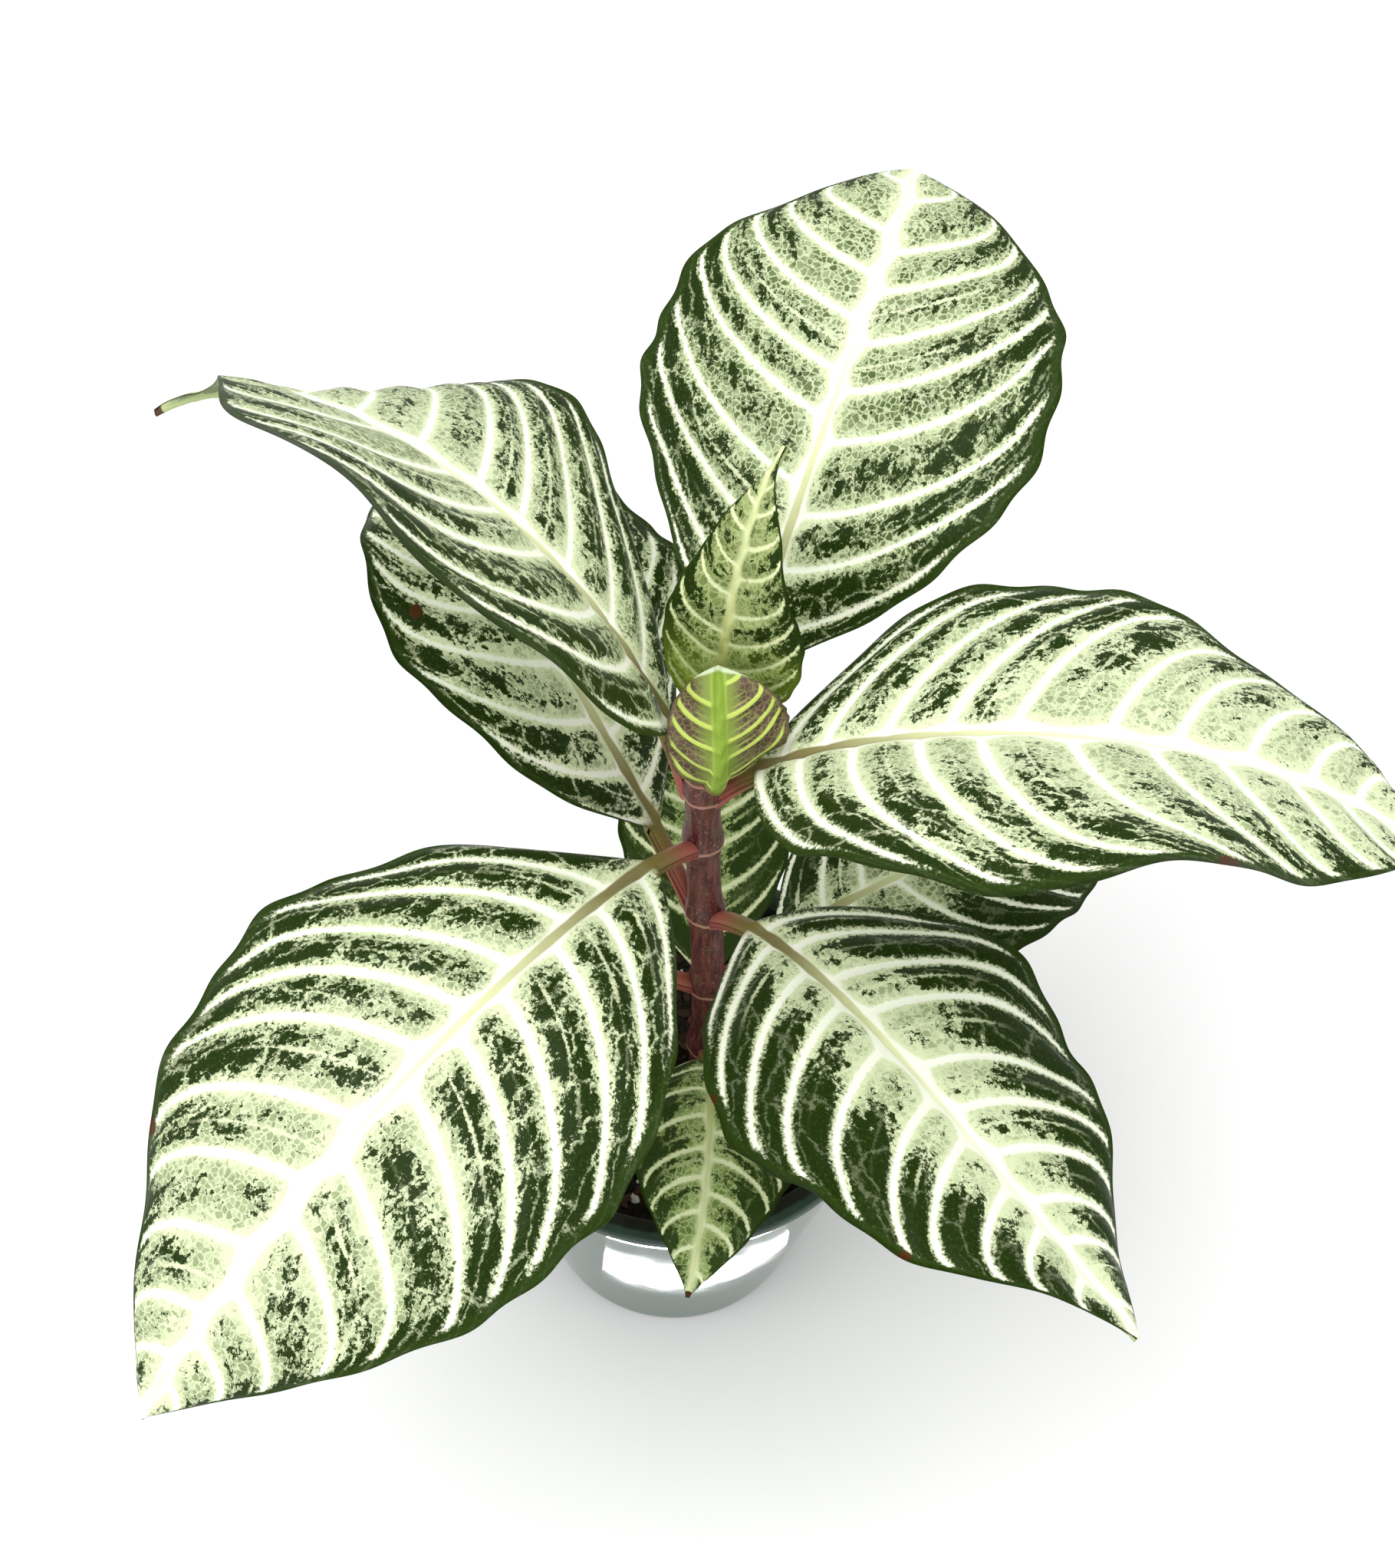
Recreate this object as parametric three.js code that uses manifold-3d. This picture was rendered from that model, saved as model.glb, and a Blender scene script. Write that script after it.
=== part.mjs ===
// A zebra plant (Aphelandra squarrosa) in a plastic nursery pot that stands in a tapered cover pot.
// Millimetres, +Z up. The origin is the middle of the cover pot's flat base.
import * as THREE from "three";
import { mergeVertices } from "three/addons/utils/BufferGeometryUtils.js";
import Module from "manifold-3d";

const wasm = await Module();
wasm.setup();

const GAP = 0.3; // clearance kept between touching pieces

// Cover pot: a plain tapered shell with a full flat base.
const COVER = { height: 102, rimRadius: 59.5, baseRadius: 39, wall: 3, floor: 5, footEdge: 2, rimEdge: 0.8 };

// Nursery pot: it hangs by its lip on the cover pot's rim.
const NURSERY = { lipRadius: 60.4, lipHeight: 3, lipDrop: 1.2, lipEdge: 0.8, wall: 1.6, floor: 2, play: 2 };
const DRAIN = { count: 6, radius: 4, circle: 20, sides: 16 };
const POT_SEGMENTS = 48;

// Potting mix: fills the nursery pot and is slightly heaped round the stem.
const SOIL = { heap: 92, edge: 89 };

// Stem: upright, leaning a little to the left as it rises, thicker at each node.
const STEM = { foot: 66, top: 243, tip: 252, radius: 4.4, nodeSwell: 0.9, nodeReach: 5, sides: 12 };
const STEM_STEP = 6;
const LEAN = { footX: 7, topX: 2.5, y: 4, from: 110, to: 240 };
const NODES = { lowest: 103, second: 138, third: 177, fourth: 212, fifth: 234, top: 243 };

// Leaves: a stalk that widens into a thin blade with a rib below.
const STALK_RADIUS = 2.4;
const TIP_RADIUS = 0.6;
const BLADE_THICKNESS = 1;
const TIP_SHARE = 0.7; // the blade thins to this share of its thickness at the tip
const RIB_DEPTH = 2.6;
const RIB_WIDTH = 1.2; // half the rib's width, in stalk radii
const LEAF_COLUMNS = 6; // cells across a leaf
const RIB_COLUMN = 2 / LEAF_COLUMNS; // the first column on each side lies at the rib's edge
const STALK_ROWS = 3;
const LEAF_START = 3.5; // the leaf's path starts this far from the stem's axis
const LEAF_ROOT = 4; // and reaches this far back into the stem, which then trims it
const DRIP = { from: 0.6, to: 0.88 }; // shares of the blade's length where a drawn-out point narrows

// Angles are in degrees. heading and rise run from the stem to the tip: heading is the compass direction
// of growth (0 is +X, 90 is +Y) and rise its slope. roll, fold and camber shape the blade: roll tilts it
// about its midrib, fold raises both halves from the midrib, camber bends their margins down again.
// width is the greatest reach of the left and right halves. shape holds the powers of the outline,
// so a smaller first number gives a fuller base and a larger second one a longer point.
// waves holds [side, height, number, phase] of the margin's undulations. drip is the share of the width
// that is lost where the blade is drawn out into a slender point.
const LEAVES = {
  leaf_back_right: {
    node: "fourth", petiole: 42, length: 144, heading: [74, 63, 80], rise: [58, 54, 28, -15],
    roll: [0, -26, 5], width: [55, 53], fold: 8, camber: 26, shape: [0.98, 0.85],
    waves: [[1, 3, 3, 0], [-1, 3, 3, 0.4]], rows: 16,
  },
  leaf_upper_left: {
    node: "fifth", petiole: 22, length: 177, heading: [160, 140, 162], rise: [78, 54, -13, -46],
    roll: [32, 31, 50], width: [56, 58], fold: 10, camber: 8, shape: [0.9, 1.1],
    waves: [[1, 2, 4, 0.2], [-1, 4, 2, 0.3]], rows: 18, drip: 0.82,
  },
  leaf_right: {
    node: "fifth", petiole: 18, length: 180, heading: [-20, 2, -12], rise: [63, 18, -2, -46],
    roll: [-3, -27, -17], width: [55, 56], fold: 12, camber: 16, shape: [0.84, 1.15],
    waves: [[1, 2, 3, 0.6], [-1, 4, 3, 0.5]], rows: 18,
  },
  leaf_back_left: {
    node: "third", petiole: 26, length: 144, heading: [147, 120, 112], rise: [67, 34, 4, -42],
    roll: [22, 5, 5], width: [38, 45], fold: 12, camber: 24, shape: [0.95, 1.05],
    waves: [[1, 3, 3, 0.3], [-1, 3, 3, 0]], rows: 16,
  },
  leaf_front_left: {
    node: "fourth", petiole: 24, length: 191, heading: [238, 229, 225], rise: [46, 1, -22, -53],
    roll: [-3, -2, -8], width: [55, 59], fold: 8, camber: 38, shape: [0.94, 1.13],
    waves: [[1, 3, 4, 0.2], [-1, 3, 4, 0.6]], rows: 18,
  },
  leaf_front_right: {
    node: "third", petiole: 22, length: 147, heading: [-52, -49, -52], rise: [56, 1, -13, 2],
    roll: [5, -11, -35], width: [46, 48], fold: 10, camber: 24, shape: [0.88, 1.1],
    waves: [[1, 3, 3, 0.2], [-1, 3, 3, 0.6]], rows: 16,
  },
  leaf_low_right: {
    node: "second", petiole: 20, length: 112, heading: [14, 31, 32], rise: [50, 20, -7, -38],
    roll: [-2, -4, 0], width: [38, 36], fold: 10, camber: 16, shape: [0.88, 1],
    waves: [[1, 2, 3, 0], [-1, 2, 3, 0.5]], rows: 14,
  },
  leaf_low_left: {
    node: "second", petiole: 20, length: 104, heading: [196, 208, 212], rise: [48, 10, -12, -36],
    roll: [0, 0, 0], width: [34, 34], fold: 10, camber: 16, shape: [0.88, 1],
    waves: [[1, 2, 3, 0.4], [-1, 2, 3, 0]], rows: 14,
  },
  leaf_low_front: {
    node: "lowest", petiole: 14, length: 82, heading: [-86, -86, -101], rise: [60, 27, -4, -21],
    roll: [0, 0, 0], width: [25, 22], fold: 10, camber: 20, shape: [0.83, 1.15],
    waves: [[1, 1, 3, 0], [-1, 1, 3, 0.5]], rows: 12,
  },
  leaf_low_back: {
    node: "lowest", petiole: 16, length: 98, heading: [93, 96, 99], rise: [54, 28, 1, -33],
    roll: [0, 0, 0], width: [24, 26], fold: 10, camber: 21, shape: [0.9, 1],
    waves: [[1, 1, 3, 0.5], [-1, 1, 3, 0]], rows: 12,
  },
  young_leaf_back: {
    node: "top", petiole: 10, length: 74, heading: [79, 75, 60], rise: [62, 88, 68, 30],
    roll: [0, -2, -30], width: [15, 20], fold: 15, camber: 20, shape: [0.72, 1.5],
    waves: [[1, 1, 3, 0], [-1, 1, 3, 0.5]], rows: 12,
  },
  young_leaf_front: {
    node: "top", petiole: 6, length: 38, heading: [-70, -80, -86], rise: [36, 84, 118, 165],
    roll: [0, 0, 0], width: [18, 13], fold: 5, camber: -24, shape: [0.55, 0.5],
    waves: [[1, 1, 2, 0], [-1, 1, 2, 0.5]], rows: 12,
  },
};

const COLOURS = {
  cover_pot: { color: 0x8b988e, roughness: 0.25 },
  nursery_pot: { color: 0x263a32, roughness: 0.45 },
  potting_mix: { color: 0x1d1712, roughness: 0.95 },
  stem: { color: 0x5b3a35, roughness: 0.5 },
  leaf: { color: 0x8ea67a, roughness: 0.45 },
  young_leaf: { color: 0x9fae7d, roughness: 0.45 },
};

const radians = THREE.MathUtils.degToRad;

// ---- solids -------------------------------------------------------------------------------------

function solidOf(geometry) {
  const bare = geometry.clone();
  bare.deleteAttribute("normal");
  bare.deleteAttribute("uv");
  const merged = mergeVertices(bare, 1e-4);
  const mesh = new wasm.Mesh({
    numProp: 3,
    vertProperties: new Float32Array(merged.attributes.position.array),
    triVerts: new Uint32Array(merged.index.array),
  });
  return new wasm.Manifold(mesh);
}

function geometryOf(solid) {
  const { numProp, numVert, vertProperties, triVerts } = solid.getMesh();
  const positions = new Float32Array(numVert * 3);
  for (let i = 0; i < numVert; i++) {
    positions.set(vertProperties.subarray(i * numProp, i * numProp + 3), i * 3);
  }
  const geometry = new THREE.BufferGeometry();
  geometry.setAttribute("position", new THREE.BufferAttribute(positions, 3));
  geometry.setIndex(new THREE.BufferAttribute(new Uint32Array(triVerts), 1));
  return geometry;
}

// Turns a profile of [radius, height] points, listed upwards on the outside, about Z.
function turned(profile, segments) {
  const points = profile.map(([radius, height]) => new THREE.Vector2(radius, height));
  const geometry = new THREE.LatheGeometry(points, segments);
  geometry.rotateX(Math.PI / 2);
  return geometry;
}

// ---- pots and potting mix -----------------------------------------------------------------------

function coverRadius(z) {
  return THREE.MathUtils.lerp(COVER.baseRadius, COVER.rimRadius, z / COVER.height);
}

function nurseryRadius(z) {
  return coverRadius(z) - COVER.wall - NURSERY.play;
}

function coverPot() {
  const inside = (z) => coverRadius(z) - COVER.wall;
  const shoulder = COVER.height - COVER.rimEdge;
  return turned(
    [
      [0, 0],
      [COVER.baseRadius - COVER.footEdge, 0],
      [coverRadius(COVER.footEdge), COVER.footEdge],
      [coverRadius(shoulder), shoulder],
      [COVER.rimRadius - COVER.rimEdge, COVER.height],
      [inside(COVER.height) + COVER.rimEdge, COVER.height],
      [inside(shoulder), shoulder],
      [inside(COVER.floor), COVER.floor],
      [0, COVER.floor],
    ],
    POT_SEGMENTS,
  );
}

function nurseryPot() {
  const lipTop = COVER.height + GAP + NURSERY.lipHeight;
  const lipFoot = COVER.height + GAP;
  const foot = COVER.floor + NURSERY.play;
  const inside = (z) => nurseryRadius(z) - NURSERY.wall;
  const shell = solidOf(
    turned(
      [
        [0, foot],
        [nurseryRadius(foot), foot],
        [nurseryRadius(lipFoot), lipFoot],
        [NURSERY.lipRadius - NURSERY.lipEdge / 2, lipFoot],
        [NURSERY.lipRadius, lipFoot + NURSERY.lipDrop],
        [NURSERY.lipRadius - NURSERY.lipEdge, lipTop - NURSERY.lipEdge / 2],
        [NURSERY.lipRadius - 2 * NURSERY.lipEdge, lipTop],
        [inside(lipTop) + NURSERY.lipEdge, lipTop - NURSERY.lipEdge / 2],
        [inside(lipFoot), lipFoot - NURSERY.lipEdge],
        [inside(foot + NURSERY.floor), foot + NURSERY.floor],
        [0, foot + NURSERY.floor],
      ],
      POT_SEGMENTS,
    ),
  );
  let pot = shell;
  for (let i = 0; i < DRAIN.count; i++) {
    const angle = (i / DRAIN.count) * 2 * Math.PI;
    const depth = 3 * NURSERY.floor;
    const hole = new THREE.CylinderGeometry(DRAIN.radius, DRAIN.radius, depth, DRAIN.sides);
    hole.rotateX(Math.PI / 2);
    hole.translate(DRAIN.circle * Math.cos(angle), DRAIN.circle * Math.sin(angle), foot + NURSERY.floor / 2);
    pot = pot.subtract(solidOf(hole));
  }
  return geometryOf(pot);
}

function pottingMix(stemWithGap) {
  const foot = COVER.floor + NURSERY.play + NURSERY.floor + GAP;
  const reach = (z) => nurseryRadius(z) - NURSERY.wall - GAP;
  const body = turned(
    [
      [0, foot],
      [reach(foot), foot],
      [reach(SOIL.edge), SOIL.edge],
      [reach(SOIL.edge) * 0.6, SOIL.edge + 1.6],
      [reach(SOIL.edge) * 0.25, SOIL.heap],
      [0, SOIL.heap],
    ],
    POT_SEGMENTS,
  );
  return geometryOf(solidOf(body).subtract(stemWithGap));
}

// ---- stem ---------------------------------------------------------------------------------------

function stemAxis(z) {
  const lean = THREE.MathUtils.smoothstep(z, LEAN.from, LEAN.to);
  return new THREE.Vector3(THREE.MathUtils.lerp(LEAN.footX, LEAN.topX, lean), LEAN.y, z);
}

function stemRadius(z) {
  const swell = Object.values(NODES).map((node) => Math.exp(-(((z - node) / STEM.nodeReach) ** 2)));
  return STEM.radius + STEM.nodeSwell * Math.max(...swell);
}

// The stem, thicker all over by extra, so that the same form also cuts what touches it.
function stemForm(extra) {
  const profile = [
    [0, STEM.foot - extra],
    [STEM.radius * 0.7 + extra, STEM.foot - extra],
  ];
  const steps = Math.round((STEM.top - STEM.foot) / STEM_STEP);
  for (let i = 1; i <= steps; i++) {
    const z = THREE.MathUtils.lerp(STEM.foot, STEM.top, i / steps);
    profile.push([stemRadius(z) + extra, z]);
  }
  profile.push([STEM.radius * 0.5 + extra, THREE.MathUtils.lerp(STEM.top, STEM.tip, 0.7)]);
  profile.push([0, STEM.tip + extra]);
  const geometry = turned(profile, STEM.sides);
  const position = geometry.getAttribute("position");
  for (let i = 0; i < position.count; i++) {
    const axis = stemAxis(position.getZ(i));
    position.setXY(i, position.getX(i) + axis.x, position.getY(i) + axis.y);
  }
  return geometry;
}

// ---- leaves -------------------------------------------------------------------------------------

// A smooth blend of the values from u = 0 to u = 1 (a Bezier curve).
function blend(values, u) {
  let row = values;
  while (row.length > 1) {
    row = row.slice(1).map((value, i) => THREE.MathUtils.lerp(row[i], value, u));
  }
  return row[0];
}

function direction(leaf, u) {
  const heading = radians(blend(leaf.heading, u));
  const rise = radians(blend(leaf.rise, u));
  return {
    along: new THREE.Vector3(
      Math.cos(rise) * Math.cos(heading),
      Math.cos(rise) * Math.sin(heading),
      Math.sin(rise),
    ),
    side: new THREE.Vector3(-Math.sin(heading), Math.cos(heading), 0),
  };
}

// Points along the middle of the leaf, from the stem to the tip, one for each millimetre.
function midrib(leaf) {
  const total = leaf.petiole + leaf.length;
  const heading = radians(leaf.heading[0]);
  const start = stemAxis(NODES[leaf.node]);
  start.x += LEAF_START * Math.cos(heading);
  start.y += LEAF_START * Math.sin(heading);
  const points = [start];
  for (let s = 0; s < total; s++) {
    const { along } = direction(leaf, (s + 0.5) / total);
    points.push(points[s].clone().add(along));
  }
  return points;
}

function outline(leaf, t) {
  const [base, tip] = leaf.shape;
  const widest = base / (base + tip);
  const scale = widest ** base * (1 - widest) ** tip;
  const inside = THREE.MathUtils.clamp(t, 0, 1);
  const drawnIn = 1 - (leaf.drip ?? 0) * THREE.MathUtils.smoothstep(inside, DRIP.from, DRIP.to);
  return (drawnIn * inside ** base * (1 - inside) ** tip) / scale;
}

// A point of the leaf: t runs from 0 at the blade's base to 1 at its tip and is negative on the stalk,
// v from -1 at the right margin to 1 at the left one, and below is 0 on the top side and 1 underneath.
function leafPoint(leaf, points, t, v, below) {
  const total = leaf.petiole + leaf.length;
  const s = THREE.MathUtils.clamp(leaf.petiole + t * leaf.length, 0, total);
  const step = Math.min(Math.floor(s), points.length - 2);
  const centre = points[step].clone().lerp(points[step + 1], s - step);
  const { along, side } = direction(leaf, s / total);
  const up = new THREE.Vector3().crossVectors(along, side);
  if (t * leaf.length < -leaf.petiole) {
    centre.addScaledVector(along, leaf.petiole + t * leaf.length);
  }
  const onBlade = THREE.MathUtils.clamp(t, 0, 1);
  const stalk = THREE.MathUtils.lerp(STALK_RADIUS, TIP_RADIUS, onBlade);
  const bladeWidth = leaf.width[v > 0 ? 0 : 1] * outline(leaf, t);
  const halfWidth = Math.hypot(bladeWidth, stalk);
  const ribReach = Math.min(0.45, (0.8 * stalk) / halfWidth);
  const beyondRib = Math.max(0, (Math.abs(v) - RIB_COLUMN) / (1 - RIB_COLUMN));
  const out = ribReach * Math.min(1, Math.abs(v) / RIB_COLUMN) + (1 - ribReach) * beyondRib;
  const bend = Math.max(Math.abs(radians(leaf.camber)), 1e-3) * (leaf.camber < 0 ? -1 : 1);
  const fold = radians(leaf.fold) * Math.min(1, bladeWidth / STALK_RADIUS);
  const across = (halfWidth * (Math.sin(fold) - Math.sin(fold - bend * out))) / bend;
  let height = (halfWidth * (Math.cos(fold - bend * out) - Math.cos(fold))) / bend;
  for (const [sideOfWave, amount, count, phase] of leaf.waves) {
    if (v * sideOfWave > 0) {
      const swing = Math.sin(2 * Math.PI * (count * onBlade + phase));
      height += amount * out ** 2 * swing * Math.sin(Math.PI * onBlade) ** 0.7;
    }
  }
  const taper = stalk / STALK_RADIUS;
  const ribRound = Math.sqrt(Math.max(0, 1 - (across / (RIB_WIDTH * stalk)) ** 2));
  height -= below * (BLADE_THICKNESS * Math.max(taper, TIP_SHARE) + RIB_DEPTH * taper * ribRound);
  const roll = radians(blend(leaf.roll, onBlade));
  const tiltedSide = side.clone().multiplyScalar(Math.cos(roll)).addScaledVector(up, Math.sin(roll));
  const tiltedUp = up.clone().multiplyScalar(Math.cos(roll)).addScaledVector(side, -Math.sin(roll));
  return centre.addScaledVector(tiltedSide, Math.sign(v) * across).addScaledVector(tiltedUp, height);
}

// A box of many cells, bent so that its faces become the leaf's two sides and its margins.
function leafGeometry(leaf) {
  const rows = leaf.rows + STALK_ROWS;
  const geometry = new THREE.BoxGeometry(2, rows, 1, LEAF_COLUMNS, rows, 1);
  const points = midrib(leaf);
  const position = geometry.getAttribute("position");
  const root = -(leaf.petiole + LEAF_ROOT) / leaf.length;
  for (let i = 0; i < position.count; i++) {
    const row = position.getY(i) + rows / 2;
    const t = row < STALK_ROWS ? root * (1 - row / STALK_ROWS) : (row - STALK_ROWS) / leaf.rows;
    const v = -position.getX(i);
    const point = leafPoint(leaf, points, t, v, 0.5 - position.getZ(i));
    position.setXYZ(i, point.x, point.y, point.z);
  }
  return geometry;
}

// ---- the plant in its pots ----------------------------------------------------------------------

const plant = new THREE.Group();

function add(name, geometry, finish) {
  const mesh = new THREE.Mesh(geometry, new THREE.MeshStandardMaterial({ metalness: 0, ...finish }));
  mesh.name = name;
  plant.add(mesh);
}

const stemWithGap = solidOf(stemForm(GAP));
add("cover_pot", coverPot(), COLOURS.cover_pot);
add("nursery_pot", nurseryPot(), COLOURS.nursery_pot);
add("potting_mix", pottingMix(stemWithGap), COLOURS.potting_mix);
add("stem", stemForm(0), COLOURS.stem);
for (const [name, leaf] of Object.entries(LEAVES)) {
  const solid = solidOf(leafGeometry(leaf)).subtract(stemWithGap);
  add(name, geometryOf(solid), name.startsWith("young") ? COLOURS.young_leaf : COLOURS.leaf);
}

export default plant;
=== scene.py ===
"""A potted zebra plant: veined leaves, stem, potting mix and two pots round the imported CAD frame."""
import math

import bpy
import numpy as np
from mathutils import Matrix, Quaternion, Vector


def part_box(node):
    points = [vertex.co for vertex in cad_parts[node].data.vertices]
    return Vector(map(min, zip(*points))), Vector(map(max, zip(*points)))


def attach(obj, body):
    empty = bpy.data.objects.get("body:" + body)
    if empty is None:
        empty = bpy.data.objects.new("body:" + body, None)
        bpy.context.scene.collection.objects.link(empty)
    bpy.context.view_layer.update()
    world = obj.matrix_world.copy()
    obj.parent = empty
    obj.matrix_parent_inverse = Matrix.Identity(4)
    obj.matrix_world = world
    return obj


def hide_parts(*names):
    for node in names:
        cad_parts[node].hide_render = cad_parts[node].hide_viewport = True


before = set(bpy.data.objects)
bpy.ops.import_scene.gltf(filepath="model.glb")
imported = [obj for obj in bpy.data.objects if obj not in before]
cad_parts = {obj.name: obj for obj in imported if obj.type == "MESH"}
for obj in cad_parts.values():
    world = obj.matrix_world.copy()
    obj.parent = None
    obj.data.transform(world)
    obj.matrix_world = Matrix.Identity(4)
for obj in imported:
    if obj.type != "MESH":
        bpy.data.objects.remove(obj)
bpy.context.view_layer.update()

MM = 0.001

# ---- driving values, the same as the CAD model's (millimetres and degrees) ------------------------

NODES = {"lowest": 103, "second": 138, "third": 177, "fourth": 212, "fifth": 234, "top": 243}
STEM = {"foot": 66, "top": 243, "tip": 252, "radius": 4.4, "swell": 0.9, "reach": 5, "sides": 72}
LEAN = {"foot_x": 7, "top_x": 2.5, "y": 4, "from": 110, "to": 240}
STALK_RADIUS = 2.4
TIP_RADIUS = 0.6
LEAF_START = 3.5
LEAF_ROOT = 4
VEIN_SPACING = (3, 24)  # least and greatest distance between neighbouring side veins
RIGHT_VEINS = 0.42  # the right half's side veins leave the midrib this share of a strip later
DRIP = (0.6, 0.88)  # shares of the blade's length where a drawn-out point narrows
THICKNESS = {"margin": 0.12, "blade": 0.42, "stalk": 0.5}
RELIEF = {"bulge": 1.15, "sway": 0.5, "rib": 2.6, "rib_groove": 0.45, "vein_groove": 0.22, "vein_below": 0.35}

# The shape's values mean the same as in the CAD model; drip is the share of width lost at a drawn-out point.
# dark is the share of dark green, light the paleness of the ground, white the breadth of the pale bands
# and line that of the veins' cream middles. veins is their number on each side. scorch holds the brown
# spots: [share of length, share of width, radius]. dull and young leaves have tones of their own.
LEAVES = {
    "leaf_back_right": dict(
        node="fourth", petiole=42, length=144, heading=[74, 63, 80], rise=[58, 54, 28, -15],
        roll=[0, -26, 5], width=[55, 53], fold=8, camber=26, shape=[0.98, 0.85],
        waves=[[1, 3, 3, 0], [-1, 3, 3, 0.4]], rows=190, columns=76,
        dark=0.25, white=1.0, veins=10, line=0.7, light=0.0, scorch=[]),
    "leaf_upper_left": dict(
        node="fifth", petiole=22, length=177, heading=[160, 140, 162], rise=[78, 54, -13, -46],
        roll=[32, 31, 50], width=[56, 58], fold=10, camber=8, shape=[0.9, 1.1],
        waves=[[1, 2, 4, 0.2], [-1, 4, 2, 0.3]], rows=200, columns=76,
        drip=0.82, dark=0.25, white=1.0, veins=11, line=0.8, light=0.4, scorch=[(1.0, 0.0, 4)]),
    "leaf_right": dict(
        node="fifth", petiole=18, length=180, heading=[-20, 2, -12], rise=[63, 18, -2, -46],
        roll=[-3, -27, -17], width=[55, 56], fold=12, camber=16, shape=[0.84, 1.15],
        waves=[[1, 2, 3, 0.6], [-1, 4, 3, 0.5]], rows=200, columns=76,
        dark=0.12, white=1.05, veins=11, line=0.95, light=0.7, scorch=[(0.62, -0.98, 2.4)]),
    # leaf_back_left lies in the shade of leaf_upper_left: its light value is set high and its dark value low,
    # partly as painted light that offsets that shade.
    "leaf_back_left": dict(
        node="third", petiole=26, length=144, heading=[147, 120, 112], rise=[67, 34, 4, -42],
        roll=[22, 5, 5], width=[38, 45], fold=12, camber=24, shape=[0.95, 1.05],
        waves=[[1, 3, 3, 0.3], [-1, 3, 3, 0]], rows=180, columns=70,
        dark=0.2, white=0.94, veins=10, line=0.95, light=0.8, scorch=[(0.52, 0.75, 2)]),
    "leaf_front_left": dict(
        node="fourth", petiole=24, length=191, heading=[238, 229, 225], rise=[46, 1, -22, -53],
        roll=[-3, -2, -8], width=[55, 59], fold=8, camber=38, shape=[0.94, 1.13],
        waves=[[1, 3, 4, 0.2], [-1, 3, 4, 0.6]], rows=210, columns=80,
        dark=0.5, white=1.0, veins=11, line=1.0, light=0.6, scorch=[(0.72, -0.97, 2.2)]),
    "leaf_front_right": dict(
        node="third", petiole=22, length=147, heading=[-52, -49, -52], rise=[56, 1, -13, 2],
        roll=[5, -11, -35], width=[46, 48], fold=10, camber=24, shape=[0.88, 1.1],
        waves=[[1, 3, 3, 0.2], [-1, 3, 3, 0.6]], rows=180, columns=74,
        dark=0.9, white=1.1, veins=10, line=1.05, light=0.8, scorch=[(0.7, -0.98, 1.6), (0.3, -0.99, 1.4)]),
    "leaf_low_right": dict(
        node="second", petiole=20, length=112, heading=[14, 31, 32], rise=[50, 20, -7, -38],
        roll=[-2, -4, 0], width=[38, 36], fold=10, camber=16, shape=[0.88, 1],
        waves=[[1, 2, 3, 0], [-1, 2, 3, 0.5]], rows=140, columns=60,
        dark=0.9, white=0.7, veins=9, line=1.0, scorch=[]),
    "leaf_low_left": dict(
        node="second", petiole=20, length=104, heading=[196, 208, 212], rise=[48, 10, -12, -36],
        roll=[0, 0, 0], width=[34, 34], fold=10, camber=16, shape=[0.88, 1],
        waves=[[1, 2, 3, 0.4], [-1, 2, 3, 0]], rows=140, columns=60,
        dark=0.9, white=0.7, veins=9, line=1.0, scorch=[]),
    "leaf_low_front": dict(
        node="lowest", petiole=14, length=82, heading=[-86, -86, -101], rise=[60, 27, -4, -21],
        roll=[0, 0, 0], width=[25, 22], fold=10, camber=20, shape=[0.83, 1.15],
        waves=[[1, 1, 3, 0], [-1, 1, 3, 0.5]], rows=130, columns=56,
        dark=0.75, white=0.62, veins=8, line=1.25, light=0.3, scorch=[(1.0, 0.0, 2)], dull=True),
    "leaf_low_back": dict(
        node="lowest", petiole=16, length=98, heading=[93, 96, 99], rise=[54, 28, 1, -33],
        roll=[0, 0, 0], width=[24, 26], fold=10, camber=21, shape=[0.9, 1],
        waves=[[1, 1, 3, 0.5], [-1, 1, 3, 0]], rows=130, columns=56,
        dark=0.9, white=0.7, veins=8, line=1.0, scorch=[], dull=True),
    "young_leaf_back": dict(
        node="top", petiole=10, length=74, heading=[79, 75, 60], rise=[62, 88, 68, 30],
        roll=[0, -2, -30], width=[15, 20], fold=15, camber=20, shape=[0.72, 1.5],
        waves=[[1, 1, 3, 0], [-1, 1, 3, 0.5]], rows=120, columns=50,
        dark=0.1, white=0.55, veins=9, scorch=[], young=True),
    "young_leaf_front": dict(
        node="top", petiole=6, length=38, heading=[-70, -80, -86], rise=[36, 84, 118, 165],
        roll=[0, 0, 0], width=[18, 13], fold=5, camber=-24, shape=[0.55, 0.5],
        waves=[[1, 1, 2, 0], [-1, 1, 2, 0.5]], rows=90, columns=50,
        dark=0.3, white=0.6, veins=6, scorch=[], young=True),
}


def srgb(red, green, blue):
    """A display colour of 0 to 255 as linear values with full alpha."""
    def linear(value):
        value = value / 255
        return value / 12.92 if value <= 0.04045 else ((value + 0.055) / 1.055) ** 2.4
    return (linear(red), linear(green), linear(blue), 1.0)


# ---- meshes ---------------------------------------------------------------------------------------

def mesh_object(name, vertices, faces, smooth=True):
    mesh = bpy.data.meshes.new(name)
    mesh.from_pydata(np.asarray(vertices).tolist(), [], [list(map(int, face)) for face in faces])
    mesh.update()
    mesh.polygons.foreach_set("use_smooth", [smooth] * len(mesh.polygons))
    piece = bpy.data.objects.new(name, mesh)
    bpy.context.scene.collection.objects.link(piece)
    return piece


def point_attribute(piece, name, values):
    """Stores one vector for each vertex, for the materials to read."""
    layer = piece.data.attributes.new(name, "FLOAT_VECTOR", "POINT")
    layer.data.foreach_set("vector", np.asarray(values, dtype=np.float32).ravel())


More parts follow.
